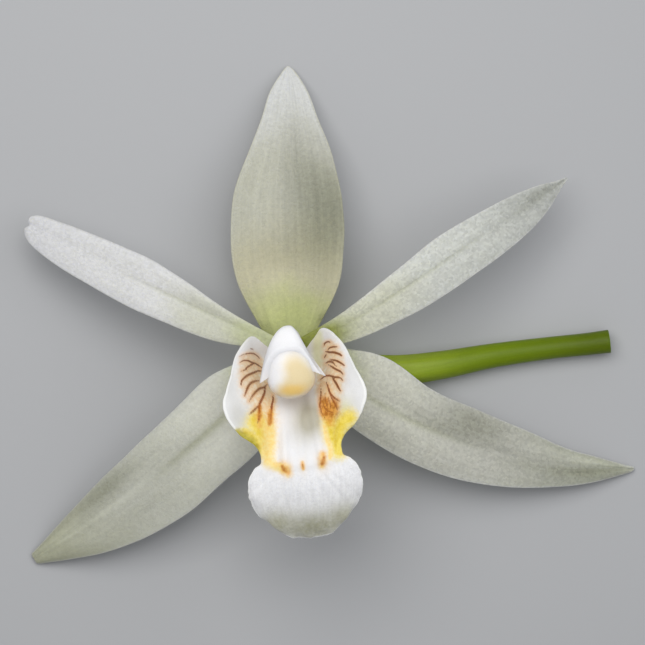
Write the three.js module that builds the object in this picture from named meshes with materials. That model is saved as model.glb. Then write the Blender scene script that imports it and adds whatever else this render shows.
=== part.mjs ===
// A picked Coelogyne flower lying on its back: three sepals, two petals, a three-lobed lip, a hooded
// column with its anther cap, and the ovary and pedicel behind. Millimetres, +Z up and out of the
// flower's face, +Y towards the dorsal sepal. Heights are above the surface that it lies on.
import * as THREE from 'three';
import { LoftGeometry } from 'three/addons/geometries/LoftGeometry.js';
import { mergeVertices } from 'three/addons/utils/BufferGeometryUtils.js';

const { CatmullRomCurve3, Vector3 } = THREE;

// Driving dimensions
const junctionHeight = 8.5; // where the tepals, lip and column meet
const lipTurn = 6.8; // degrees that lip and column are turned about the flower's axis
const tepalThickness = 0.46;
const lipThickness = 0.5;
const tipCrowding = 1.6; // above 1, the rows of a tepal crowd towards its tip
const foldStart = 0.3; // share of a tepal's rows over which its fold grows from the base
const tepalTipThinning = 0.5; // share of the thickness that a tepal loses towards its tip
const lipTipThinning = 0.4;

const tepalRows = 22;
const tepalRing = 18; // points round a tepal's section
const lipRows = 34;
const lipRing = 40;
const sheetStep = 0.01; // share of a sheet over which its slope is taken

// Each tepal is a midrib from base to tip, and half-widths to its left and right at even steps of
// rows, seen from above with the tip ahead. fold arches each half between midrib and margin, softFold
// rounds the valley at the midrib, cup lifts both margins, and roll lifts the left margin and drops
// the right one.
const tepals = {
  dorsal_sepal: {
    midrib: [
      [0.1, 0.9, 8.0], [0, 5.6, 8.3], [-0.25, 10.9, 7.4],
      [-0.3, 16.3, 5.5], [-0.25, 22.3, 2.9], [-0.3, 27.8, 0.14],
    ],
    left: [2.4, 5.0, 5.5, 5.0, 3.7, 2.6, 1.85, 0.8, 0.14],
    right: [2.1, 4.85, 5.5, 5.1, 4.2, 2.9, 2.0, 1.0, 0.14],
    fold: 0.1,
    softFold: 0.3,
    cup: 0.45,
    roll: 0,
    color: 0xd6d7c6,
  },
  petal_left: {
    midrib: [
      [-1.5, 0.6, 8.95], [-5.7, 2.4, 9.5], [-10.7, 4.7, 9.2],
      [-15.8, 7.1, 8.1], [-21.1, 9.9, 6.4], [-25.6, 12.1, 4.6],
    ],
    left: [0.8, 2.2, 2.6, 2.7, 2.6, 2.5, 2.15, 1.6, 0.75],
    right: [0.6, 1.2, 2.0, 2.4, 2.15, 1.8, 1.5, 1.25, 0.7],
    fold: 0.12,
    softFold: 0.22,
    cup: 0.12,
    roll: -0.2,
    color: 0xdcdcd8,
  },
  petal_right: {
    midrib: [
      [1.3, 0.35, 8.95], [5.9, 2.5, 9.5], [11.7, 6.2, 9.2],
      [17.3, 10.0, 8.1], [22.4, 13.3, 6.4], [26.9, 16.5, 4.6],
    ],
    left: [0.7, 1.35, 1.9, 2.3, 2.1, 1.8, 1.2, 0.4, 0.12],
    right: [0.8, 1.9, 2.6, 2.7, 2.6, 2.15, 1.4, 0.5, 0.12],
    fold: 0.16,
    softFold: 0.2,
    cup: 0.15,
    roll: 0.2,
    color: 0xdcdcd8,
  },
  lateral_sepal_left: {
    midrib: [
      [-0.65, -0.75, 8.0], [-4.8, -5.2, 7.9], [-10.3, -10.1, 6.4],
      [-15.8, -14.5, 4.4], [-21.1, -18.2, 2.2], [-25.4, -20.9, 0.14],
    ],
    left: [0.85, 4.3, 4.7, 4.8, 4.2, 3.2, 2.0, 1.1, 0.55],
    right: [1.3, 3.8, 3.7, 3.4, 2.95, 2.2, 1.45, 0.85, 0.5],
    fold: 0.4,
    softFold: 0.16,
    cup: 0,
    roll: 0.1,
    color: 0xc6c8b8,
  },
  lateral_sepal_right: {
    midrib: [
      [0.75, -0.6, 8.0], [5.8, -3.85, 7.9], [11.6, -7.0, 6.4],
      [18.5, -9.8, 4.4], [26.5, -11.5, 2.2], [33.9, -12.0, 0.14],
    ],
    left: [1.4, 4.2, 3.6, 3.45, 2.8, 1.75, 1.05, 0.4, 0.12],
    right: [0.85, 3.0, 3.7, 3.55, 3.0, 2.2, 1.45, 0.7, 0.12],
    fold: 0.4,
    softFold: 0.16,
    cup: 0,
    roll: -0.1,
    color: 0xc6c8b8,
  },
};

// The lip's rows from its claw to its tip. centre, foot, crest and margin are guide points across one
// half: the disc lies between centre and foot, the side lobe's wall rises from foot to crest, and its
// free edge flares out to margin. x is sideways, y and z are measured from the junction.
const lipRowsAt = [
  { centre: [0, -1.3, 0.25], foot: [0.45, -1.3, 0.3], crest: [0.7, -1.25, 0.45], margin: [0.9, -1.2, 0.65] },
  { centre: [0, -2.4, 2.4], foot: [1.6, -2.0, 2.5], crest: [2.6, -0.6, 3.0], margin: [2.3, 0.6, 3.5] },
  { centre: [0, -3.6, 4.4], foot: [2.3, -3.0, 4.5], crest: [3.7, -0.6, 5.3], margin: [3.5, 1.55, 4.9] },
  { centre: [0, -4.9, 6.0], foot: [2.35, -4.2, 6.2], crest: [4.5, -1.3, 7.2], margin: [4.95, 0.1, 6.9] },
  { centre: [0, -6.2, 7.2], foot: [2.25, -5.6, 7.3], crest: [4.85, -3.0, 8.6], margin: [5.9, -2.3, 8.8] },
  { centre: [0, -7.6, 8.1], foot: [2.4, -7.1, 8.1], crest: [4.6, -4.9, 9.3], margin: [6.7, -4.8, 9.9] },
  { centre: [0, -8.8, 8.7], foot: [2.7, -8.4, 8.6], crest: [4.1, -7.0, 9.4], margin: [5.6, -7.2, 9.8] },
  { centre: [0, -9.8, 9.0], foot: [2.8, -9.5, 8.9], crest: [3.6, -8.8, 9.2], margin: [4.05, -8.7, 9.3] },
  { centre: [0, -10.7, 9.2], foot: [2.7, -10.5, 9.2], crest: [3.4, -10.3, 9.2], margin: [3.8, -10.15, 9.2] },
  { centre: [0, -11.4, 9.2], foot: [2.6, -11.2, 9.2], crest: [3.8, -10.9, 9.2], margin: [4.5, -10.7, 9.15] },
  { centre: [0, -12.2, 9.15], foot: [2.6, -12.0, 9.15], crest: [4.1, -11.8, 9.1], margin: [5.1, -11.6, 9.0] },
  { centre: [0, -13.4, 8.9], foot: [2.5, -13.2, 8.9], crest: [4.25, -13.1, 8.8], margin: [5.35, -13.0, 8.6] },
  { centre: [0, -15.0, 8.2], foot: [2.3, -14.8, 8.2], crest: [3.9, -14.7, 8.1], margin: [4.9, -14.65, 7.8] },
  { centre: [0, -16.6, 7.1], foot: [1.8, -16.5, 7.1], crest: [3.0, -16.3, 7.2], margin: [3.75, -16.0, 7.2] },
  { centre: [0, -17.9, 5.7], foot: [1.0, -17.85, 5.8], crest: [1.7, -17.7, 6.0], margin: [2.3, -17.4, 6.3] },
];

// The column's sections from its foot to the rim of its hood: where its outer side, its inner side
// and its edges are, from the junction, half-widths to the left and right, and blade, from 0, a round
// rod, to 1, a thin arched hood
const columnRowsAt = [
  { back: [0.6, -0.75], front: [-0.6, -0.75], wing: [0, -0.75], half: [0.6, 0.6], blade: 0 },
  { back: [0.75, 0.0], front: [-0.7, 0.0], wing: [0, 0.0], half: [0.8, 0.8], blade: 0 },
  { back: [1.1, 1.2], front: [-0.85, 1.0], wing: [0.1, 1.1], half: [1.1, 1.1], blade: 0 },
  { back: [1.7, 3.2], front: [-0.3, 3.0], wing: [0.7, 3.1], half: [1.05, 1.15], blade: 0.1 },
  { back: [2.0, 5.4], front: [0.0, 5.0], wing: [0.9, 5.2], half: [1.05, 1.15], blade: 0.2 },
  { back: [1.9, 7.2], front: [0.1, 6.8], wing: [0.6, 7.1], half: [1.15, 1.15], blade: 0.4 },
  { back: [2.1, 8.8], front: [0.9, 8.5], wing: [-0.2, 8.7], half: [1.65, 1.55], blade: 0.8 },
  { back: [2.0, 9.8], front: [1.6, 9.45], wing: [-2.6, 9.75], half: [2.95, 2.97], blade: 1 },
  { back: [0.15, 10.55], front: [0.05, 10.2], wing: [-2.85, 10.1], half: [3.0, 3.08], blade: 1 },
];
const hoodFall = { left: 1.75, right: 0.15 }; // to its wings: a power on the left, from a share on the right
const rimFall = { left: 2.6, right: 0.27 };
const columnRows = 22;
const columnRing = 24;

// The anther cap: a blunt ovoid in front of the hood's rim
const antherAt = [-0.08, -2.5, 9.12]; // from the junction
const antherHalf = [2.15, 2.0, 1.35];
const antherBluntness = 0.85; // below 1, its top is flatter and its ends are blunter
const antherSegments = [24, 16];

// The ovary turns from the junction to the surface, and the pedicel runs along it to its cut end
const pedicelPath = [
  [0, 0, 7.35], [0.15, -0.1, 6.0], [1.0, -0.5, 4.2], [3.3, -1.3, 2.6], [6.8, -2.0, 1.85], [10.5, -2.25, 1.6],
  [14.8, -1.75, 1.5], [20, -0.8, 1.3], [25.2, -0.1, 1.2], [29, 0.3, 1.2], [31.4, 0.6, 1.25],
];
const pedicelRadius = [1.45, 1.35, 1.3, 1.35, 1.45, 1.5, 1.4, 1.2, 1.1, 1.1, 1.15];
const ovaryRib = 0.1; // how far its ribs stand out, as a share of its radius
const ovaryRibs = 6;
const ovaryShare = 0.45; // of the path that is ribbed ovary
const ovaryFade = 0.2; // share of the path over which the ribs die away
const pedicelRows = 32;
const pedicelRing = 18;

const flower = new THREE.Group();

function addPiece(parent, name, geometry, color, roughness) {
  const piece = new THREE.Mesh(geometry, new THREE.MeshStandardMaterial({ color, roughness, metalness: 0 }));
  piece.name = name;
  parent.add(piece);
}

// A smooth curve through points given as arrays
function smoothCurve(points) {
  return new CatmullRomCurve3(points.map((p) => new Vector3(...p)), false, 'catmullrom');
}

// A lens-shaped ring about the sheet surface(t, q): q runs from -1 to 1 across, and the ring stands
// half a thickness to each side of the sheet, falling to nothing at the margins
function lensRing(surface, t, thickness, count) {
  return Array.from({ length: count }, (_, i) => {
    const angle = (2 * Math.PI * i) / count;
    const q = Math.cos(angle);
    const across = surface(t, Math.min(q + sheetStep, 1)).sub(surface(t, Math.max(q - sheetStep, -1)));
    const along = surface(Math.min(t + sheetStep, 1), q).sub(surface(Math.max(t - sheetStep, 0), q));
    const outward = along.cross(across).normalize();
    return surface(t, q).addScaledVector(outward, 0.5 * thickness(t) * Math.sin(angle));
  });
}

// One ring for each row, from 0 to 1
function evenRows(count, ringAt) {
  return Array.from({ length: count + 1 }, (_, i) => ringAt(i / count));
}

// A closed skin over rings of points. Each end is pinched shut on the line midway between the ring's
// two sides, which also closes a crescent.
function loft(rings) {
  const pinch = (ring) => ring.map((p, i) => p.clone().lerp(ring[(ring.length - i) % ring.length], 0.5));
  const skin = new LoftGeometry([pinch(rings[0]), ...rings, pinch(rings.at(-1))]);
  const bare = new THREE.BufferGeometry().setAttribute('position', skin.getAttribute('position'));
  const merged = mergeVertices(bare.setIndex(skin.index));
  const faces = [];
  for (let i = 0; i < merged.index.count; i += 3) {
    const [a, b, c] = [0, 1, 2].map((k) => merged.index.getX(i + k));
    if (a !== b && b !== c && c !== a) faces.push(a, b, c);
  }
  return merged.setIndex(faces);
}

function tepalSolid({ midrib, left, right, fold, softFold, cup, roll }) {
  const rib = smoothCurve(midrib);
  const halves = smoothCurve(left.map((l, i) => [l, right[i], 0]));
  const surface = (t, q) => {
    const s = 1 - (1 - t) ** tipCrowding;
    const along = rib.getTangentAt(s);
    const side = new Vector3(-along.y, along.x, 0).normalize();
    const half = halves.getPoint(t);
    const width = q > 0 ? half.x : half.y;
    const grown = THREE.MathUtils.smoothstep(t, 0, foldStart) * Math.min(1, width);
    const off = Math.hypot(q, softFold);
    const lift = grown * (fold * 4 * off * (1 - Math.min(off, 1)) + cup * q * q + roll * q);
    const point = rib.getPointAt(s).addScaledVector(side, q * width);
    point.z += lift;
    return point;
  };
  const thickness = (t) => tepalThickness * (1 - tepalTipThinning * t * t);
  return loft(evenRows(tepalRows, (t) => lensRing(surface, t, thickness, tepalRing)));
}

// The lip's sheet: curves run through each guide point from row to row, and a smooth section joins
// them from one margin over the disc to the other
function lipSolid() {
  const mirror = ([x, y, z]) => [-x, y, z];
  const guides = [
    (row) => mirror(row.margin),
    (row) => mirror(row.crest),
    (row) => mirror(row.foot),
    (row) => row.centre,
    (row) => row.foot,
    (row) => row.crest,
    (row) => row.margin,
  ].map((pick) => smoothCurve(lipRowsAt.map(pick)));
  const surface = (t, q) => {
    const section = new CatmullRomCurve3(guides.map((guide) => guide.getPoint(t)), false, 'catmullrom');
    return section.getPoint((1 - q) / 2);
  };
  const thickness = (t) => lipThickness * (1 - lipTipThinning * t);
  return loft(evenRows(lipRows, (t) => lensRing(surface, t, thickness, lipRing)));
}

// Each section's middle line falls from the centre to both wings, and its two sides stand off it
function columnSolid() {
  const last = columnRowsAt.length - 1;
  const pair = ([y, z], x) => new Vector3(x, y, z);
  const middles = columnRowsAt
    .map(({ back, front, blade }) => pair(back, blade).lerp(pair(front, blade), 0.5));
  const depths = columnRowsAt
    .map(({ back, front }) => pair(back, 0).sub(pair(front, 0)).multiplyScalar(0.5));
  const middle = smoothCurve(middles.map((p) => p.toArray()));
  const depth = smoothCurve(depths.map((p) => p.toArray()));
  const wing = smoothCurve(columnRowsAt.map((row) => [0, ...row.wing]));
  const width = smoothCurve(columnRowsAt.map((row) => [...row.half, 0]));
  const ringAt = (t) => {
    const [m, d, w, half] = [middle, depth, wing, width].map((curve) => curve.getPoint(t));
    const rim = THREE.MathUtils.clamp(t * last - last + 1, 0, 1);
    const left = THREE.MathUtils.lerp(hoodFall.left, rimFall.left, rim);
    const right = THREE.MathUtils.lerp(hoodFall.right, rimFall.right, rim);
    return Array.from({ length: columnRing }, (_, i) => {
      const angle = (2 * Math.PI * i) / columnRing;
      const [q, side] = [Math.cos(angle), Math.sin(angle)];
      const hood = q > 0 ? THREE.MathUtils.smoothstep(q, right, 1) : Math.abs(q) ** left;
      const fall = THREE.MathUtils.lerp(1 - Math.abs(side), hood, m.x);
      const x = q * (q > 0 ? half.y : half.x);
      return m.clone().lerp(w, fall).addScaledVector(d, side).setX(x);
    });
  };
  return loft(evenRows(columnRows, ringAt));
}

function antherSolid() {
  const ball = new THREE.SphereGeometry(1, ...antherSegments);
  const position = ball.getAttribute('position');
  const blunt = (v) => Math.sign(v) * Math.abs(v) ** antherBluntness;
  for (let i = 0; i < position.count; i += 1) {
    position.setXYZ(i, position.getX(i), blunt(position.getY(i)), blunt(position.getZ(i)));
  }
  return ball.scale(...antherHalf).translate(...antherAt);
}

function pedicelSolid() {
  const path = smoothCurve(pedicelPath);
  const radii = smoothCurve(pedicelRadius.map((r) => [r, 0, 0]));
  const ringAt = (t) => {
    const along = path.getTangent(t);
    const side = new Vector3(0, 1, 0).addScaledVector(along, -along.y).normalize();
    const up = new Vector3().crossVectors(along, side);
    const ribbed = ovaryRib * (1 - THREE.MathUtils.smoothstep(t, ovaryShare, ovaryShare + ovaryFade));
    return Array.from({ length: pedicelRing }, (_, i) => {
      const angle = (2 * Math.PI * i) / pedicelRing;
      const radius = radii.getPoint(t).x * (1 - ribbed * (1 - Math.cos(ovaryRibs * angle)) * 0.5);
      return path.getPoint(t)
        .addScaledVector(side, radius * Math.cos(angle))
        .addScaledVector(up, radius * Math.sin(angle));
    });
  };
  return loft(evenRows(pedicelRows, ringAt));
}

const matt = 0.5;
const waxy = 0.4;
for (const [name, tepal] of Object.entries(tepals)) {
  addPiece(flower, name, tepalSolid(tepal), tepal.color, matt);
}

const gynostemium = new THREE.Group(); // lip and column share one turn about the junction
gynostemium.position.z = junctionHeight;
gynostemium.rotation.z = THREE.MathUtils.degToRad(lipTurn);
flower.add(gynostemium);
addPiece(gynostemium, 'lip', lipSolid(), 0xeeeeea, waxy);
addPiece(gynostemium, 'column', columnSolid(), 0xf0f0ec, waxy);
addPiece(gynostemium, 'anther_cap', antherSolid(), 0xf0e6c4, waxy);

addPiece(flower, 'ovary_and_pedicel', pedicelSolid(), 0x7f9a32, waxy);

// The origin is the bottom centre of the flower's box
const box = new THREE.Box3().setFromObject(flower, true);
const middle = box.getCenter(new Vector3());
flower.position.set(-middle.x, -middle.y, -box.min.z);

const part = new THREE.Group();
part.add(flower);
export default part;
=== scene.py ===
import bisect
import math

import bmesh
import bpy
from mathutils import Matrix, Vector, noise


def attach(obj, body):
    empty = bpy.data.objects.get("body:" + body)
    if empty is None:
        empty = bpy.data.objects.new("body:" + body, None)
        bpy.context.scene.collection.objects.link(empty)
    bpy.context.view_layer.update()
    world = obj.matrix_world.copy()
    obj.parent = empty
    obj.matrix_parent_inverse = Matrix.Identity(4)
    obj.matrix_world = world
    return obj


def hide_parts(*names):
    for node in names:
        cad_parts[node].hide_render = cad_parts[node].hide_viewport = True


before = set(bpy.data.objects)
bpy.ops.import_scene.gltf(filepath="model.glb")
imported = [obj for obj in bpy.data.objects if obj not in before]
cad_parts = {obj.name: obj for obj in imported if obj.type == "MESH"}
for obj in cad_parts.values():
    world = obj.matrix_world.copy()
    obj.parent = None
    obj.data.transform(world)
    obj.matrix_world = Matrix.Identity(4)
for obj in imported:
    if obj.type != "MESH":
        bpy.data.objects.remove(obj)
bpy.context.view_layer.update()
print("loaded", len(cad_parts), "nodes")

mm = 0.001
flowerAt = Vector((-4.014, -3.231, -0.064))  # where the tepals meet, in plan, and the surface under it
junctionHeight = 8.5
lipTurn = math.radians(6.8)  # lip, column and anther share this turn about the flower's axis
lipFrame = Matrix.Translation(flowerAt + Vector((0, 0, junctionHeight))) @ Matrix.Rotation(lipTurn, 4, "Z")


def smooth(x, low, high):
    x = min(max((x - low) / (high - low), 0.0), 1.0)
    return x * x * (3 - 2 * x)


def hump(x, width):
    return math.exp(-((x / width) ** 2))


# a smooth curve through points or numbers, at t from 0 to 1
def walk(points, t):
    last = len(points) - 1
    i = min(int(t * last), last - 1)
    u = t * last - i
    b, c = points[i], points[i + 1]
    a = points[i - 1] if i else 2 * b - c
    d = points[i + 2] if i + 2 <= last else 2 * c - b
    bend, twist = 2 * a - 5 * b + 4 * c - d, 3 * b - a - 3 * c + d
    return 0.5 * (2 * b + (c - a) * u + bend * u * u + twist * u ** 3)


# the same curve by the share of its length
def walkEvenly(points, steps=200):
    marks = [walk(points, i / steps) for i in range(steps + 1)]
    run = [0.0]
    for a, b in zip(marks, marks[1:]):
        run.append(run[-1] + (b - a).length)

    def at(share):
        want = share * run[-1]
        k = min(bisect.bisect_right(run, want), steps) - 1
        return walk(points, (k + (want - run[k]) / (run[k + 1] - run[k])) / steps)

    return at


def vectors(rows):
    return [Vector(row) for row in rows]


# soft dabs: where, half sizes and strength; they add up
def dabbed(x, y, dabs):
    total = 0.0
    for atX, atY, halfX, halfY, strength in dabs:
        total += strength * hump(x - atX, halfX) * hump(y - atY, halfY)
    return total


brushMarks = 5  # for each point of a stroke
brushEnd = 0.04  # share of a stroke, at each end, over which it gets no thinner


# brush strokes in plan: half-width and points, laid out ready to be asked how much of them is at a point
def layBrush(brush):
    laid = []
    for halfWidth, points in brush["strokes"]:
        line = vectors(points)
        count = brushMarks * len(line)
        marks = [walk(line, i / count) for i in range(count + 1)]
        reach = halfWidth * (1 + brush["soft"])
        low = Vector((min(m.x for m in marks) - reach, min(m.y for m in marks) - reach))
        high = Vector((max(m.x for m in marks) + reach, max(m.y for m in marks) + reach))
        laid.append((halfWidth, marks, low, high))
    return laid


def brushed(point, brush, laid):
    best = 0.0
    flat = point.to_2d()
    for halfWidth, marks, low, high in laid:
        if not (low.x < flat.x < high.x and low.y < flat.y < high.y):
            continue
        gap, near = min(((mark - flat).length, i) for i, mark in enumerate(marks))
        along = min(max(near / (len(marks) - 1), brushEnd), 1 - brushEnd)
        width = halfWidth * (1 - brush["taper"] + brush["taper"] * math.sqrt(math.sin(math.pi * along)))
        best = max(best, 1 - smooth(gap, width * (1 - brush["soft"]), width * (1 + brush["soft"])))
    return best


# a colour from its screen levels, 0 to 255
def paint(red, green, blue):
    def linear(level):
        level /= 255
        return level / 12.92 if level <= 0.04045 else ((level + 0.055) / 1.055) ** 2.4

    return (linear(red), linear(green), linear(blue), 1.0)


class Wire:
    # a value in a finish; arithmetic on it adds Math nodes there
    def __init__(self, finish, socket):
        self.finish = finish
        self.socket = socket

    def maths(self, operation, first, second):
        return self.finish.node("ShaderNodeMath", {"operation": operation}, {0: first, 1: second})

    def __add__(self, other):
        return self.maths("ADD", self, other)

    def __sub__(self, other):
        return self.maths("SUBTRACT", self, other)

    def __rsub__(self, other):
        return self.maths("SUBTRACT", other, self)

    def __mul__(self, other):
        return self.maths("MULTIPLY", self, other)

    def __abs__(self):
        return self.maths("ABSOLUTE", self, 0)

    __radd__ = __add__
    __rmul__ = __mul__


class Finish:
    # one material; light sinks into it to a depth in millimetres, and its colours spread by their shares
    def __init__(self, name, gloss, weight=0.0, depth=1.0, spread=(1.0, 1.0, 1.0)):
        self.material = bpy.data.materials.new(name)
        self.material.use_nodes = True
        self.tree = self.material.node_tree
        self.shader = self.tree.nodes["Principled BSDF"]
        self.shader.inputs["Specular IOR Level"].default_value = gloss
        self.shader.inputs["Subsurface Weight"].default_value = weight
        self.shader.inputs["Subsurface Scale"].default_value = depth * mm
        self.shader.inputs["Subsurface Radius"].default_value = spread
        metres = self.node("ShaderNodeTexCoord", output="Object")
        self.place = self.node("ShaderNodeVectorMath", {"operation": "SCALE"}, {0: metres, "Scale": 1 / mm})

    def node(self, kind, settings=None, inputs=None, output=0):
        made = self.tree.nodes.new(kind)
        for key, value in (settings or {}).items():
            setattr(made, key, value)
        for key, value in (inputs or {}).items():
            self.plug(made.inputs[key], value)
        return Wire(self, made.outputs[output])

    def plug(self, socket, value):
        if isinstance(value, Wire):
            self.tree.links.new(value.socket, socket)
        else:
            socket.default_value = value

    def attribute(self, name, output="Fac"):
        return self.node("ShaderNodeAttribute", {"attribute_name": name}, output=output)

    def split(self, vector):
        first = self.node("ShaderNodeSeparateXYZ", {}, {0: vector})
        return [Wire(self, socket) for socket in first.socket.node.outputs]

    def spread(self):
        return self.split(self.attribute("spread", "Vector"))

    def joined(self, x, y, z=0.0):
        return self.node("ShaderNodeCombineXYZ", {}, {0: x, 1: y, 2: z})

    # scale is to the millimetre
    def noise(self, scale, detail=2.0, roughness=0.5, place=None):
        sockets = {"Vector": place or self.place, "Scale": scale, "Detail": detail, "Roughness": roughness}
        return self.node("ShaderNodeTexNoise", {}, sockets)

    # noises by their names in a dictionary
    def noises(self, values, *keys):
        return [self.noise(*values[key]) for key in keys]

    # one even random level for each cell of the given pitch
    def cells(self, pitch):
        tint = self.node("ShaderNodeTexVoronoi", {}, {"Vector": self.place, "Scale": 1 / pitch}, "Color")
        return self.split(tint)[0]

    # from 0 at the low limit to 1 at the high one, which may be the smaller number
    def step(self, value, low, high):
        limits = {"Value": value, "From Min": low, "From Max": high}
        return self.node("ShaderNodeMapRange", {"interpolation_type": "SMOOTHSTEP"}, limits)

    def mix(self, share, first, second, blend="MIX"):
        settings = {"data_type": "RGBA", "blend_type": blend}
        return self.node("ShaderNodeMix", settings, {0: share, 6: first, 7: second}, output=2)

    # a colour made lighter or darker by a plain factor
    def toned(self, color, factor):
        grey = self.node("ShaderNodeCombineColor", {}, {0: factor, 1: factor, 2: factor})
        return self.mix(1.0, color, grey, "MULTIPLY")

    # distance is the height of a full bump, in millimetres
    def bumps(self, height, strength, distance):
        sockets = {"Height": height, "Strength": strength, "Distance": distance * mm}
        return self.node("ShaderNodeBump", {}, sockets)

    def finish(self, color, roughness, normal):
        self.plug(self.shader.inputs["Base Color"], color)
        self.plug(self.shader.inputs["Roughness"], roughness)
        self.plug(self.shader.inputs["Normal"], normal)
        return self.material


# a flat grid to shape; its points keep in "spread" where on the piece they are
def startGrid(cells):
    bm = bmesh.new()
    bm.loops.layers.uv.new("UVMap")
    spread = bm.verts.layers.float_vector.new("spread")
    bmesh.ops.create_grid(bm, x_segments=cells[0], y_segments=cells[1], size=0.5, calc_uvs=True)
    return bm, spread


# a sheet grown from a grid: place(t, q) gives its middle in millimetres, t along it and q from -1 to 1
# across it; relief(t, q, point) lifts it along its normal
def growSheet(cells, place, relief):
    bm, spread = startGrid(cells)
    for v in bm.verts:
        t, q = v.co.x + 0.5, v.co.y * 2
        v[spread] = (t, q, 0)
        v.co = place(t, q)
    bm.normal_update()
    lifts = [relief(v[spread].x, v[spread].y, v.co) for v in bm.verts]
    for v, lift in zip(bm.verts, lifts):
        v.co += v.normal * lift
    return bm


# a tube rolled from a grid: place(t, angle), with its seam merged and both ends closed
def rollTube(cells, place):
    bm, spread = startGrid(cells)
    for v in bm.verts:
        t, turn = v.co.x + 0.5, v.co.y + 0.5
        v[spread] = (t, turn, 0)
        v.co = place(t, 2 * math.pi * turn)
    bmesh.ops.remove_doubles(bm, verts=bm.verts, dist=0.0005)  # millimetres
    bmesh.ops.holes_fill(bm, edges=[e for e in bm.edges if e.is_boundary], sides=0)
    bmesh.ops.recalc_face_normals(bm, faces=bm.faces)
    return bm


# scales the mesh to metres; with weights, a wall of this thickness grows on both sides, thinner where
# they are below 1
def addPiece(name, node, slotName, bm, finish, weights=None, thickness=0.0, levels=0):
    bmesh.ops.scale(bm, vec=(mm, mm, mm), verts=bm.verts)
    for face in bm.faces:
        face.smooth = True
    mesh = bpy.data.meshes.new(name)
    bm.to_mesh(mesh)
    bm.free()
    piece = bpy.data.objects.new(name, mesh)
    bpy.context.scene.collection.objects.link(piece)
    mesh.materials.append(finish)
    if weights:
        group = piece.vertex_groups.new(name="flesh")
        for index, weight in enumerate(weights):
            group.add([index], weight, "REPLACE")
        wall = piece.modifiers.new("flesh", "SOLIDIFY")
        wall.thickness = thickness * mm
        wall.offset = 0
        wall.vertex_group = "flesh"
        wall.thickness_vertex_group = 0
        wall.use_quality_normals = True
    if levels:
        rounding = piece.modifiers.new("rounding", "SUBSURF")
        rounding.levels = rounding.render_levels = levels
    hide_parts(node)
    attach(piece, "root")
    print("made", name)


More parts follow.
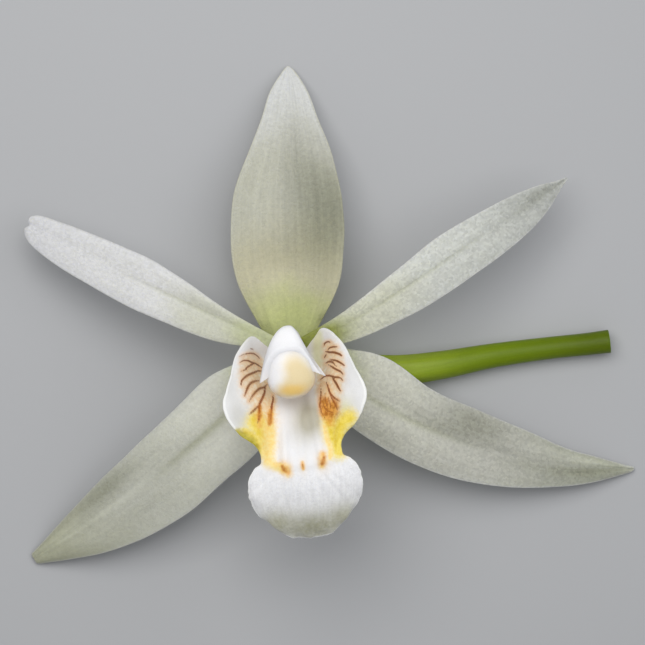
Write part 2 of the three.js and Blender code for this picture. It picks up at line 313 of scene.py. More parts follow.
# midrib: from base to tip, plan from where the tepals meet and height above the surface; left and
# right: half-widths at even steps of t, seen from above with the tip ahead. tints run from base to
# tip, with painted shade and painted light in them: darker or lighter tips where the light falls
# off. rim is a painted highlight along the margin. shades darken as painted shade, and lighten as
# painted light where their strength is negative, and swells lift, each by a share of the length, a
# place across, half sizes and a strength.
tepals = {
    "dorsalSepal": {
        "node": "dorsal_sepal",
        "slot": "sepal",
        "midrib": [
            (0.1, 0.9, 8.0), (0, 5.6, 8.3), (-0.25, 10.9, 7.4), (-0.3, 16.3, 5.5), (-0.25, 22.3, 2.9),
            (-0.3, 27.8, 0.14),
        ],
        "left": [2.4, 5.0, 5.5, 5.0, 3.7, 2.6, 1.85, 0.78, 0.06],
        "right": [2.1, 4.85, 5.5, 5.1, 4.2, 2.9, 2.0, 0.95, 0.06],
        "fold": 0.1, "softFold": 0.3, "cup": 0.45, "roll": 0.0,
        "groove": 0.0, "grooveEnd": 0.5, "midline": 0.0, "notch": 0.0,
        "tints": [(178, 183, 124), (182, 178, 150), (184, 184, 170), (216, 217, 214)],
        "rim": (200, 199, 176), "streaks": 0.34, "grain": 0.15,
        "shades": [
            (0.45, -0.75, 0.18, 0.6, 0.42), (0.6, -0.15, 0.16, 0.4, 0.14), (0.3, -0.4, 0.12, 1.2, 0.16),
            (0.2, 0.2, 0.06, 0.5, -0.18), (0.62, 0.85, 0.14, 0.3, -0.08), (0.5, 0.2, 0.16, 0.4, -0.07),
            (0.08, 0.45, 0.05, 0.35, -0.14), (0.02, 0.0, 0.04, 0.4, 0.2), (0.03, 0.9, 0.03, 0.4, 0.3),
            (0.07, -0.95, 0.025, 0.15, 0.4), (0.97, 0.0, 0.05, 1.2, -0.04),
        ],
        "swells": [(0.6, 0.1, 0.2, 0.35, -0.12)],
    },
    "petalLeft": {
        "node": "petal_left",
        "slot": "petal",
        "midrib": [
            (-1.5, 0.6, 8.95), (-5.7, 2.4, 9.5), (-10.7, 4.7, 9.2), (-15.8, 7.1, 8.1),
            (-21.1, 9.9, 6.4), (-25.6, 12.1, 4.6),
        ],
        "left": [0.8, 2.2, 2.6, 2.7, 2.6, 2.5, 2.15, 1.6, 0.75],
        "right": [0.45, 1.0, 1.85, 2.35, 2.15, 1.8, 1.5, 1.25, 0.7],
        "fold": 0.12, "softFold": 0.22, "cup": 0.12, "roll": -0.2,
        "groove": 0.05, "grooveEnd": 0.55, "midline": 0.2, "notch": 0.012,
        "tints": [(194, 199, 160), (202, 203, 188), (218, 218, 217), (221, 221, 222)],
        "rim": (204, 204, 200), "streaks": 0.16, "grain": 0.18,
        "shades": [(0.2, -0.1, 0.12, 0.3, 0.06), (0.28, -0.45, 0.12, 0.3, 0.11)],
        "swells": [(0.85, 0.0, 0.12, 0.6, 0.1)],
    },
    "petalRight": {
        "node": "petal_right",
        "slot": "petal",
        "midrib": [
            (1.3, 0.35, 8.95), (5.9, 2.5, 9.5), (11.7, 6.2, 9.2), (17.3, 10, 8.1), (22.4, 13.3, 6.4),
            (26.9, 16.5, 4.6),
        ],
        "left": [0.7, 1.35, 1.9, 2.3, 2.1, 1.8, 1.2, 0.4, 0.12],
        "right": [0.8, 1.9, 2.6, 2.7, 2.6, 2.15, 1.4, 0.5, 0.12],
        "fold": 0.16, "softFold": 0.2, "cup": 0.15, "roll": 0.2,
        "groove": 0.06, "grooveEnd": 0.62, "midline": 0.2, "notch": 0.0,
        "tints": [(134, 141, 56), (198, 199, 182), (202, 204, 198), (180, 182, 178)],
        "rim": (214, 214, 208), "streaks": 0.18, "grain": 0.34,
        "shades": [
            (0.9, 0.3, 0.12, 0.7, 0.22), (0.75, 0.0, 0.2, 0.16, 0.1), (0.4, 0.55, 0.25, 0.3, -0.07),
            (0.55, -0.6, 0.2, 0.4, 0.11), (0.25, -0.5, 0.12, 0.4, 0.05),
        ],
        "swells": [],
    },
    "lateralSepalLeft": {
        "node": "lateral_sepal_left",
        "slot": "sepal",
        "midrib": [
            (-0.65, -0.75, 8.0), (-4.8, -5.2, 7.9), (-10.3, -10.1, 6.4), (-15.8, -14.5, 4.4),
            (-21.1, -18.2, 2.2), (-25.4, -20.9, 0.14),
        ],
        "left": [0.85, 4.3, 4.7, 4.8, 4.2, 3.2, 2.0, 1.1, 0.55],
        "right": [1.3, 3.8, 3.7, 3.4, 2.95, 2.2, 1.45, 0.85, 0.5],
        "fold": 0.4, "softFold": 0.16, "cup": 0.0, "roll": 0.1,
        "groove": 0.05, "grooveEnd": 0.46, "midline": 0.36, "notch": 0.0,
        "tints": [(184, 190, 152), (211, 212, 201), (198, 199, 187), (171, 172, 150)],
        "rim": (206, 207, 196), "streaks": 0.18, "grain": 0.12,
        "shades": [
            (0.66, -0.65, 0.16, 0.35, 0.34), (0.6, 0.4, 0.14, 0.25, 0.14), (0.42, 0.0, 0.14, 0.14, 0.1),
            (0.9, -0.35, 0.09, 0.5, -0.28), (0.72, -0.05, 0.2, 0.09, -0.1),
            (0.32, 0.65, 0.14, 0.45, -0.18), (0.28, 0.36, 0.1, 0.16, -0.14),
            (0.3, -0.4, 0.1, 0.35, -0.06), (0.35, -0.8, 0.22, 0.35, -0.12),
            (0.9, 0.45, 0.06, 0.3, 0.03), (0.55, 0.95, 0.3, 0.2, -0.08),
        ],
        "swells": [(0.75, 0.0, 0.22, 0.12, 0.16)],
    },
    "lateralSepalRight": {
        "node": "lateral_sepal_right",
        "slot": "sepal",
        "midrib": [
            (0.75, -0.6, 8.0), (5.8, -3.85, 7.9), (11.6, -7, 6.4), (18.5, -9.8, 4.4),
            (26.5, -11.5, 2.2), (33.9, -12, 0.14),
        ],
        "left": [1.4, 4.2, 3.6, 3.45, 2.8, 1.75, 1.05, 0.4, 0.12],
        "right": [0.85, 3.0, 3.7, 3.55, 3.0, 2.2, 1.45, 0.7, 0.12],
        "fold": 0.4, "softFold": 0.16, "cup": 0.0, "roll": -0.1,
        "groove": 0.05, "grooveEnd": 0.5, "midline": 0.26, "notch": 0.0,
        "tints": [(166, 174, 122), (203, 203, 190), (191, 191, 181), (172, 174, 158)],
        "rim": (218, 219, 212), "streaks": 0.2, "grain": 0.28,
        "shades": [
            (0.52, 0.6, 0.12, 0.4, 0.35), (0.42, 0.18, 0.14, 0.22, 0.2),
            (0.85, -0.32, 0.13, 0.34, 0.38), (0.88, 0.45, 0.07, 0.25, -0.18),
            (0.86, 0.6, 0.08, 0.35, -0.06), (0.75, -0.95, 0.3, 0.16, -0.2), (0.3, 0.0, 0.07, 0.3, -0.1),
            (0.3, 0.85, 0.08, 0.25, -0.06), (0.3, -0.7, 0.08, 0.4, 0.14),
            (0.66, -0.15, 0.1, 0.35, 0.14), (0.08, 0.85, 0.06, 0.3, 0.16),
        ],
        "swells": [],
    },
}
tepalBuild = {
    "cells": (120, 40),
    "crowding": 1.6,  # above 1, rows crowd towards the tip
    "span": 0.004,  # share of the midrib, each way, that gives its direction
    "foldStart": 0.3,  # share of the rows over which the fold grows from the base
    "notchAt": 0.1,  # across
    "notchWidth": 0.35,
    "notchFrom": 0.92,
    "thickness": 0.3,
    "rimThinning": 0.65,
    "tipThinning": 0.45,
    "reliefStart": (0.02, 0.14),
    "reliefEnd": (0.9, 1.0),
    "grooveWidth": 0.22,
    "grooveFade": (-0.1, 0.2),  # from the groove's end
    "streakRelief": 0.012,
    "streakScales": (8, 3),  # across and along
    "wave": 0.09,
    "waveScale": 0.2,
    "waveAt": Vector((3.1, 0, 7.7)),
    "marginWave": 0.018,  # of the half-width
    "marginScale": 9,
}
tissue = {
    "flesh": {"weight": 0.35, "depth": 0.8, "spread": (1.0, 0.95, 0.7), "gloss": 0.35},
    "cloud": (0.3, 3.0),
    "mottle": (2.4, 3.0, 0.65),
    "fine": (6.0, 2.0, 0.7),
    "fibre": (1.0, 3.0, 0.6),
    "fibreScales": (13.0, 2.6, 0.6),  # across, along and with the cloud
    "grainPitch": 0.23,  # of the sparkling surface cells, in millimetres
    "tintLimits": [(0.07, 0.24), (0.26, 0.5), (0.58, 0.98)],  # where each tint takes over from the last
    "cloudShift": 0.12,  # how far the tints wander
    "sideShift": 0.06,
    # the rim: a painted highlight along the thin margin of each tepal
    "rimReach": (0.24, 0.03),  # millimetres from the margin
    "rimShare": 0.6,
    "rimStart": (0.1, 0.3),
    "midlineWidth": 0.16,
    "midlineFade": (0.12, -0.15),  # from the groove's end
    "olive": paint(148, 153, 100),  # of the midline and of the painted shade
    "oliveLimits": (0.04, 0.6),
    "oliveShare": 0.36,
    "shadeDepth": 0.88,
    "mottleDepth": 0.2,
    "fineDepth": 0.1,
    "grainShare": 0.7,
    "roughness": 0.44,
    "roughGrain": 0.18,
    "bumpFine": 1.4,
    "bump": (0.55, 0.05),
}


def tissueFinish(name, tepal):
    look = Finish(name + "Tissue", **tissue["flesh"])
    along, across, fromEdge = look.spread()
    side = abs(across)
    cloud, mottle, fine = look.noises(tissue, "cloud", "mottle", "fine")
    grain = look.cells(tissue["grainPitch"])
    run = along + (cloud - 0.5) * tissue["cloudShift"] + side * side * tissue["sideShift"]
    body, *tints = [paint(*levels) for levels in tepal["tints"]]
    for tint, limits in zip(tints, tissue["tintLimits"]):
        body = look.mix(look.step(run, *limits), body, tint)
    # painted highlight along the margin
    rim = look.step(fromEdge, *tissue["rimReach"]) * tissue["rimShare"]
    body = look.mix(rim * look.step(along, *tissue["rimStart"]), body, paint(*tepal["rim"]))
    # fibres run lengthwise
    acrossScale, alongScale, cloudScale = tissue["fibreScales"]
    threads = look.joined(across * acrossScale, along * alongScale, cloud * cloudScale)
    fibres = look.noise(*tissue["fibre"], place=threads)
    fade = [tepal["grooveEnd"] + gap for gap in tissue["midlineFade"]]
    midline = look.step(side, tissue["midlineWidth"], 0.0) * look.step(along, *fade)
    body = look.mix(midline * tepal["midline"], body, tissue["olive"])
    # the shade attribute: painted shade, and painted light where it is negative, with olive mixed into the
    # painted shade
    shadow = look.attribute("shade")
    body = look.mix(look.step(shadow, *tissue["oliveLimits"]) * tissue["oliveShare"], body, tissue["olive"])
    shade = 1 - shadow * tissue["shadeDepth"]
    shade = shade - (fibres - 0.5) * tepal["streaks"] - (mottle - 0.5) * tissue["mottleDepth"]
    shade = shade + (grain - 0.5) * tepal["grain"] * tissue["grainShare"]
    shade = shade + (fine - 0.5) * tissue["fineDepth"]
    rough = tissue["roughness"] + (grain - 0.5) * tissue["roughGrain"]
    bumps = look.bumps(grain + fine * tissue["bumpFine"], *tissue["bump"])
    return look.finish(look.toned(body, shade), rough, bumps)


def growTepal(name, tepal):
    ribAt = walkEvenly(vectors(tepal["midrib"]))
    build = tepalBuild

    def alongAt(t):
        return 1 - (1 - t) ** build["crowding"]

    def halfWidth(t, q):
        ragged = noise.noise(Vector((alongAt(t) * build["marginScale"], math.copysign(4, q), 2)))
        half = walk(tepal["left"] if q > 0 else tepal["right"], t)
        return half * (1 + build["marginWave"] * ragged)

    def place(t, q):
        notch = tepal["notch"] * hump(q - build["notchAt"], build["notchWidth"])
        s = alongAt(t) - notch * smooth(t, build["notchFrom"], 1)
        ahead = ribAt(min(s + build["span"], 1)) - ribAt(max(s - build["span"], 0))
        side = Vector((-ahead.y, ahead.x, 0)).normalized()
        half = halfWidth(t, q)
        grown = smooth(t, 0, build["foldStart"]) * min(1, half)
        off = math.sqrt(q * q + tepal["softFold"] ** 2)
        folded = tepal["fold"] * 4 * off * (1 - min(off, 1)) + tepal["cup"] * q * q + tepal["roll"] * q
        return flowerAt + ribAt(s) + side * (q * half) + Vector((0, 0, grown * folded))

    def relief(t, q, point):
        s = alongAt(t)
        half = halfWidth(t, q)
        body = smooth(t, *build["reliefStart"]) * (1 - smooth(t, *build["reliefEnd"]))
        valley = -tepal["groove"] * hump(abs(q) * half, build["grooveWidth"])
        valley *= 1 - smooth(s, *(tepal["grooveEnd"] + gap for gap in build["grooveFade"]))
        acrossScale, alongScale = build["streakScales"]
        streaks = noise.noise(Vector((q * acrossScale, s * alongScale, 5))) * build["streakRelief"]
        wave = build["wave"] * noise.noise(point * build["waveScale"] + build["waveAt"])
        return (valley + streaks + dabbed(s, q, tepal["swells"])) * body + wave * min(half, 1)

    bm = growSheet(build["cells"], place, relief)
    spread = bm.verts.layers.float_vector["spread"]
    shade = bm.verts.layers.float.new("shade")
    weights = []
    for v in bm.verts:
        t, q = v[spread].x, v[spread].y
        weights.append((1 - build["rimThinning"] * abs(q) ** 6) * (1 - build["tipThinning"] * t * t))
        # along, across, and millimetres from the margin
        v[spread] = (alongAt(t), q, (1 - abs(q)) * halfWidth(t, q))
        v[shade] = dabbed(alongAt(t), q, tepal["shades"])
    finish = tissueFinish(name, tepal)
    addPiece(name, tepal["node"], tepal["slot"], bm, finish, weights, build["thickness"], 1)


for name, tepal in tepals.items():
    growTepal(name, tepal)

# guide lines from the claw to the tip, on the lip's right half: sideways, ahead and up from the junction
lipGuides = {
    "centre": [
        (0, -1.1, 0.0), (0, -2.4, 2.4), (0, -3.6, 4.4), (0, -4.9, 6.0), (0, -6.2, 7.2), (0, -7.6, 8.1),
        (0, -8.8, 8.7), (0, -9.8, 9.0), (0, -10.7, 9.2), (0, -11.4, 9.2), (0, -12.2, 9.15),
        (0, -13.4, 8.9), (0, -15.0, 8.2), (0, -16.6, 7.1), (0, -17.9, 5.7),
    ],
    "foot": [
        (0.45, -1.1, 0.05), (1.6, -2.0, 2.5), (2.3, -3.0, 4.5), (2.35, -4.2, 6.2), (2.25, -5.6, 7.3),
        (2.4, -7.1, 8.1), (2.7, -8.4, 8.6), (2.8, -9.5, 8.9), (2.7, -10.5, 9.2), (2.6, -11.2, 9.2),
        (2.6, -12.0, 9.15), (2.5, -13.2, 8.9), (2.3, -14.8, 8.2), (1.8, -16.5, 7.1), (1.0, -17.85, 5.8),
    ],
    "crest": [
        (0.7, -1.05, 0.2), (2.6, -0.6, 3.0), (3.7, -0.6, 5.3), (4.5, -1.3, 7.2), (4.85, -3.0, 8.6),
        (4.6, -4.9, 9.3), (4.1, -7.0, 9.4), (3.6, -8.8, 9.2), (3.4, -10.3, 9.2), (3.8, -10.9, 9.2),
        (4.1, -11.8, 9.1), (4.25, -13.1, 8.8), (3.9, -14.7, 8.1), (3.0, -16.3, 7.2), (1.7, -17.7, 6.0),
    ],
    "margin": [
        (0.9, -1.0, 0.4), (2.3, 0.6, 3.5), (3.5, 1.55, 4.9), (4.95, 0.1, 6.9), (5.9, -2.3, 8.8),
        (6.7, -4.8, 9.9), (5.6, -7.2, 9.8), (4.05, -8.7, 9.3), (3.8, -10.15, 9.2), (4.5, -10.7, 9.15),
        (5.1, -11.6, 9.0), (5.35, -13.0, 8.6), (4.9, -14.65, 7.8), (3.75, -16.0, 7.2),
        (2.3, -17.4, 6.3),
    ],
}
lipBuild = {
    "cells": (236, 190),
    "thickness": 0.3,
    "rimThinning": 0.6,
    "tipThinning": 0.2,
    "keels": [(-1.55, 0.2), (-0.8, 0.05), (0.05, 0.1), (0.95, 0.05), (1.8, 0.2)],  # aside, height
    "keelWidth": 0.42,
    "keelGather": 0.75,  # how close they stand at the claw
    "keelSpread": (0.1, 0.6),
    "keelStart": (0.1, 0.25),
    "keelEnd": (0.54, 0.66),
    "keelTips": [
        (-1.58, -10.9, 0.32, 0.5, 0.06), (0.0, -10.95, 0.2, 0.45, 0.04), (1.86, -10.7, 0.3, 0.55, 0.06),
    ],
    "lobe": (0.64, 0.76),  # where the front lobe begins
    "lobeMiddle": -9.0,  # ahead; its flutes fan out from here
    "fluting": 0.02,
    "flutes": 30,
    "fluteBend": (2.4, 0.5),  # how much they wander, and the scale of it
    "fluteFolds": (17, 0.3),  # scales around and ahead
    "fluteFoldShare": 0.7,
    "swell": 0.1,
    "swellScale": 0.35,
    "swellAt": Vector((9, 2, 4)),
    "crinkle": 0.035,
    "crinkleScale": 1.3,
    "crinkleFrom": (0.4, 0.7),
    "veinRelief": 0.025,
    "ragged": 0.14,  # how far the front lobe's margin wanders
    "raggedScale": 1.1,
    "raggedFine": (0.5, 2.4),  # share and scale
    "raggedSides": 0.35,  # of the side lobes' margins
    "raggedLobe": (0.64, 0.8),
    "raggedRim": (0.8, 1.0),
    "raggedTip": (0.9, 1.0),
    # the edge: a painted highlight along the lip's thin rim
    "rimLine": (0.945, 0.98),
    "rimStart": (0.1, 0.2),
    "rimAhead": 6,  # the painted highlight along the thin rim is this many times narrower at the tip
}
# the lip's colours, brushed on in plan, with half-widths
lipBrushes = {
    "tan": {"soft": 1.1, "taper": 0.35, "strokes": [
        (1.2, [(-3.85, -0.9), (-3.85, -1.6), (-3.75, -2.4), (-3.5, -3.8), (-3.0, -5.4), (-2.7, -6.6)]),
        (0.7, [(-3.0, -1.2), (-2.7, -2.6), (-2.4, -4.2), (-2.4, -5.9)]),
        (1.0, [(3.95, -0.5), (4.0, -1.3), (3.95, -2.3), (3.7, -3.7), (3.3, -5.0), (3.0, -6.2)]),
        (0.6, [(3.1, -2.4), (2.7, -3.6), (2.6, -4.8), (2.7, -6.0)]),
    ]},
    "greenShade": {"soft": 0.6, "taper": 0.3, "strokes": [  # painted shade, tinted green by the tepals behind, on the inner wall of the right side lobe
        (0.6, [(2.85, 1.0), (2.8, 0.0), (2.8, -1.2), (2.75, -2.6)]),
    ]},
    "yellow": {"soft": 1.3, "taper": 0.2, "strokes": [
        (0.6, [(-5.0, -7.3), (-4.4, -7.7), (-3.95, -8.3), (-3.6, -9.2)]),
        (0.9, [(-3.9, -6.3), (-3.6, -7.0), (-3.4, -7.7), (-3.3, -8.3)]),
        (0.85, [(4.9, -7.0), (4.2, -7.4), (3.7, -8.2), (3.5, -9.3), (3.5, -10.0)]),
        (0.8, [(3.1, -6.6), (3.1, -7.6), (3.05, -8.8)]),
    ]},
    "amber": {"soft": 1.3, "taper": 0.2, "strokes": [  # where the veins run out into the yellow
        (0.45, [(-2.5, -5.9), (-2.7, -6.6), (-2.9, -7.3)]),
        (0.4, [(-3.6, -5.8), (-3.6, -6.8)]),
        (0.5, [(2.9, -6.2), (3.0, -6.8), (3.1, -7.3)]),
    ]},
    "apricot": {"soft": 1.1, "taper": 0.2, "strokes": [
        (0.75, [(-2.8, -7.3), (-2.9, -8.4), (-3.1, -9.4), (-3.1, -10.1)]),
        (0.45, [(-3.2, -9.8), (-2.7, -10.5), (-1.9, -11.0)]),
        (0.26, [(2.5, -7.6), (2.6, -8.8), (2.75, -9.7), (2.6, -10.5)]),
    ]},
    "olive": {"soft": 1.3, "taper": 0.4, "strokes": [
        (0.5, [(-5.6, -7.1), (-5.0, -7.7), (-4.45, -8.2), (-4.1, -8.9)]),
        (0.26, [(6.0, -7.2), (5.4, -7.8), (4.75, -8.2), (4.3, -8.7)]),
    ]},
    "orange": {"soft": 1.5, "taper": 0.3, "strokes": [  # on the ends of the keels
        (0.5, [(-1.85, -10.7), (-1.6, -11.05), (-1.45, -11.4)]),
        (0.18, [(0.0, -10.6), (0.0, -11.2)]),
        (0.38, [(1.95, -10.1), (1.9, -10.6), (1.75, -11.1)]),
    ]},
    "core": {"soft": 1.0, "taper": 0.4, "strokes": [
        (0.22, [(-1.85, -10.75), (-1.75, -11.0), (-1.62, -11.2)]),
        (0.06, [(0.0, -10.75), (0.02, -11.1)]),
        (0.2, [(1.97, -10.4), (1.9, -10.7), (1.8, -10.95)]),
    ]},
    "rust": {"soft": 1.0, "taper": 0.4, "strokes": [  # where the veins gather
        (0.75, [(2.8, -5.4), (2.9, -6.2), (3.3, -6.2), (3.6, -5.7)]),
        (0.24, [(-2.45, -5.6), (-2.7, -6.8)]),
        (0.2, [(-3.4, -5.0), (-3.6, -6.2)]),
    ]},
    "vein": {"soft": 0.6, "taper": 0.8, "strokes": [
        (0.05, [(-3.8, 0.5), (-3.5, 0.3)]),
        (0.06, [(-4.8, -0.2), (-4.4, -0.05), (-3.9, 0.0), (-3.5, -0.1), (-3.2, -0.4), (-3.0, -0.7)]),
        (0.08, [(-4.8, -0.8), (-4.5, -0.65), (-4.1, -0.7), (-3.8, -0.9), (-3.5, -1.05), (-3.2, -1.3),
                (-2.9, -1.6)]),
        (0.08, [(-4.8, -1.6), (-4.4, -1.5), (-4.2, -1.3), (-3.8, -1.1), (-3.5, -1.05)]),
        (0.11, [(-4.9, -2.9), (-4.8, -2.5), (-4.5, -2.2), (-4.1, -2.0), (-3.7, -1.9), (-3.3, -1.8),
                (-2.9, -1.9)]),
        (0.12, [(-4.7, -3.9), (-4.5, -3.5), (-4.3, -3.1), (-4.0, -2.8), (-3.6, -2.7), (-3.3, -2.7)]),
        (0.12, [(-4.3, -4.4), (-4.0, -4.0), (-3.7, -3.7), (-3.3, -3.45), (-2.9, -3.4), (-2.6, -3.2)]),
        (0.11, [(-4.4, -5.6), (-4.1, -5.4), (-3.7, -5.1), (-3.4, -4.9)]),
        (0.13, [(-2.8, -3.5), (-2.9, -3.9), (-3.1, -4.3), (-3.4, -4.8), (-3.5, -5.2), (-3.5, -5.7)]),
        (0.11, [(-2.1, -4.3), (-2.15, -4.7), (-2.3, -5.1), (-2.4, -5.6), (-2.5, -6.1), (-2.7, -6.6)]),
        (0.07, [(-3.5, -5.6), (-3.6, -6.1), (-3.8, -6.5)]),
        (0.07, [(3.4, -0.1), (3.5, 0.1), (3.8, 0.2), (4.0, 0.1)]),
        (0.07, [(3.7, -0.6), (3.9, -0.4), (4.3, -0.35), (4.6, -0.4)]),
        (0.10, [(3.5, -0.7), (3.8, -0.8), (4.3, -0.9), (4.7, -1.1), (4.9, -1.3)]),
        (0.06, [(3.3, -1.3), (3.5, -1.0)]),
        (0.09, [(3.8, -1.5), (4.1, -1.6), (4.4, -1.7), (4.8, -2.0), (5.0, -2.2)]),
        (0.09, [(3.4, -1.8), (3.7, -1.7), (4.0, -1.8), (4.3, -2.2)]),
        (0.10, [(3.6, -2.0), (3.9, -2.2), (4.2, -2.45), (4.6, -2.7), (4.8, -3.0)]),
        (0.10, [(2.7, -3.3), (3.1, -3.05), (3.5, -3.0), (3.8, -3.1), (4.1, -3.2), (4.5, -3.3),
                (4.7, -3.5)]),
        (0.11, [(3.8, -3.1), (3.9, -3.4), (4.1, -3.8), (4.25, -4.2), (4.4, -4.5)]),
        (0.11, [(3.2, -3.6), (3.3, -4.1), (3.4, -4.6), (3.6, -4.9), (3.9, -5.2), (4.2, -5.4)]),
        (0.09, [(3.4, -4.9), (3.6, -5.3), (3.8, -5.8), (3.9, -6.2)]),
        (0.09, [(2.6, -3.9), (2.55, -4.6), (2.4, -5.3), (2.3, -5.7), (2.4, -6.3), (2.6, -6.8)]),
        (0.10, [(2.6, -5.3), (2.7, -5.8), (2.9, -6.1), (3.2, -6.3), (3.5, -6.4)]),
        (0.08, [(2.9, -4.6), (2.9, -5.3), (3.0, -5.8), (2.9, -6.5)]),
        (0.08, [(3.2, -5.0), (3.3, -5.6), (3.3, -6.1)]),
    ]},
}
veinHalo = 0.28  # the warm blush on each side of a vein
lipBrushes["halo"] = {"soft": 0.95, "taper": 0.3, "strokes": [
    (veinHalo, points) for halfWidth, points in lipBrushes["vein"]["strokes"]
]}
lipDabs = {
    "ember": [(-2.7, -5.0, 0.8, 1.5, 0.9), (3.1, -4.6, 0.7, 1.7, 0.9)],  # the warmer lower part of the tan
    "glow": [  # peach round the keel tips
        (-1.6, -11.0, 0.6, 0.8, 0.9), (0.0, -11.0, 0.4, 0.7, 0.6), (1.85, -10.8, 0.6, 0.9, 0.9),
        (-2.9, -10.6, 0.6, 0.6, 0.5), (2.6, -9.0, 0.5, 1.8, 0.5), (-1.9, -8.8, 0.4, 1.8, 0.3),
    ],
    "lemon": [(-4.5, -6.9, 0.9, 0.8, 0.9), (4.5, -6.4, 0.8, 1.2, 1.0)],  # where the yellow fades out
    "frontShade": [  # painted shade where the front lobe curls down away from the light
        (0.3, -16.9, 3.3, 1.8, 1.0), (3.6, -15.8, 1.5, 1.4, 0.55), (-3.3, -15.8, 1.6, 1.4, 0.68),
    ],
    "discShadow": [  # painted shadow of the column and anther on the disc, beige
        (1.15, -6.6, 0.95, 1.7, 0.95), (0.3, -7.2, 1.4, 2.0, 0.55), (1.95, -6.7, 0.4, 1.5, 0.5),
    ],
    "flare": [  # greyer outer sides of the side lobes
        (-5.8, -3.0, 0.9, 2.6, 0.7), (5.9, -3.4, 1.2, 3.4, 0.5), (-5.1, -5.8, 1.2, 1.3, 1.0),
        (4.8, -6.0, 1.0, 1.0, 0.3),
    ],
}


def growLip():
    def mirrored(point):
        return (-point[0], point[1], point[2])

    build = lipBuild
    guides = [vectors([mirrored(point) for point in lipGuides[key]]) for key in ("margin", "crest", "foot")]
    guides += [vectors(lipGuides[key]) for key in ("centre", "foot", "crest", "margin")]
    sections = {}
    laid = {key: layBrush(brush) for key, brush in lipBrushes.items()}

    def place(t, q):
        if t not in sections:
            sections[t] = [walk(guide, t) for guide in guides]
        point = walk(sections[t], (q + 1) / 2)
        fineShare, fineScale = build["raggedFine"]
        wander = noise.noise(Vector((point.x * build["raggedScale"], point.y * build["raggedScale"], 3)))
        wander += fineShare * noise.noise(point * fineScale)
        sides = build["raggedSides"] + (1 - build["raggedSides"]) * smooth(t, *build["raggedLobe"])
        point.y += build["ragged"] * wander * smooth(t, *build["raggedTip"])
        point.x += math.copysign(build["ragged"], q) * wander * sides * smooth(abs(q), *build["raggedRim"])
        return point

    # ridges that fan out over the front lobe
    def flutedAt(point):
        turn = math.atan2(point.x, build["lobeMiddle"] - point.y)
        bend, bendScale = build["fluteBend"]
        aroundScale, aheadScale = build["fluteFolds"]
        folds = noise.noise(Vector((turn * aroundScale, point.y * aheadScale, 1)))
        flutes = math.cos(turn * build["flutes"] + bend * noise.noise(point * bendScale))
        return flutes + build["fluteFoldShare"] * folds

    def relief(t, q, point):
        disc = smooth(t, *build["keelStart"]) * (1 - smooth(t, *build["keelEnd"]))
        lift = 0.0
        if abs(q) < 0.5:
            gather = build["keelGather"]
            for aside, height in build["keels"]:
                line = aside * (gather + (1 - gather) * smooth(t, *build["keelSpread"]))
                lift += height * hump(point.x - line, build["keelWidth"]) * disc
            lift += dabbed(point.x, point.y, build["keelTips"])
        lift += build["fluting"] * flutedAt(point) * smooth(t, *build["lobe"])
        lift += build["swell"] * noise.noise(point * build["swellScale"] + build["swellAt"])
        crinkle = build["crinkle"] * noise.noise(point * build["crinkleScale"])
        lift += crinkle * smooth(abs(q), *build["crinkleFrom"])
        if t < 0.5 and abs(q) > 0.25:  # the side lobes
            lift += build["veinRelief"] * brushed(point, lipBrushes["vein"], laid["vein"])
        return lift

    bm = growSheet(build["cells"], place, relief)
    spread = bm.verts.layers.float_vector["spread"]
    layers = {key: bm.verts.layers.float.new(key) for key in (*lipBrushes, *lipDabs, "edge")}
    weights = []
    for v in bm.verts:
        t, q = v[spread].x, v[spread].y
        for key, brush in lipBrushes.items():
            v[layers[key]] = brushed(v.co, brush, laid[key])
        for key, dabs in lipDabs.items():
            v[layers[key]] = min(dabbed(v.co.x, v.co.y, dabs), 1)
        # the edge layer: a painted highlight along the rim
        rim = max(abs(q), 1 - build["rimAhead"] * (1 - t))
        v[layers["edge"]] = smooth(rim, *build["rimLine"]) * smooth(t, *build["rimStart"])
        edge = max(abs(q), 2 * t - 1)
        weights.append((1 - build["rimThinning"] * edge ** 8) * (1 - build["tipThinning"] * t))
    bmesh.ops.transform(bm, matrix=lipFrame, verts=bm.verts)
    return bm, weights


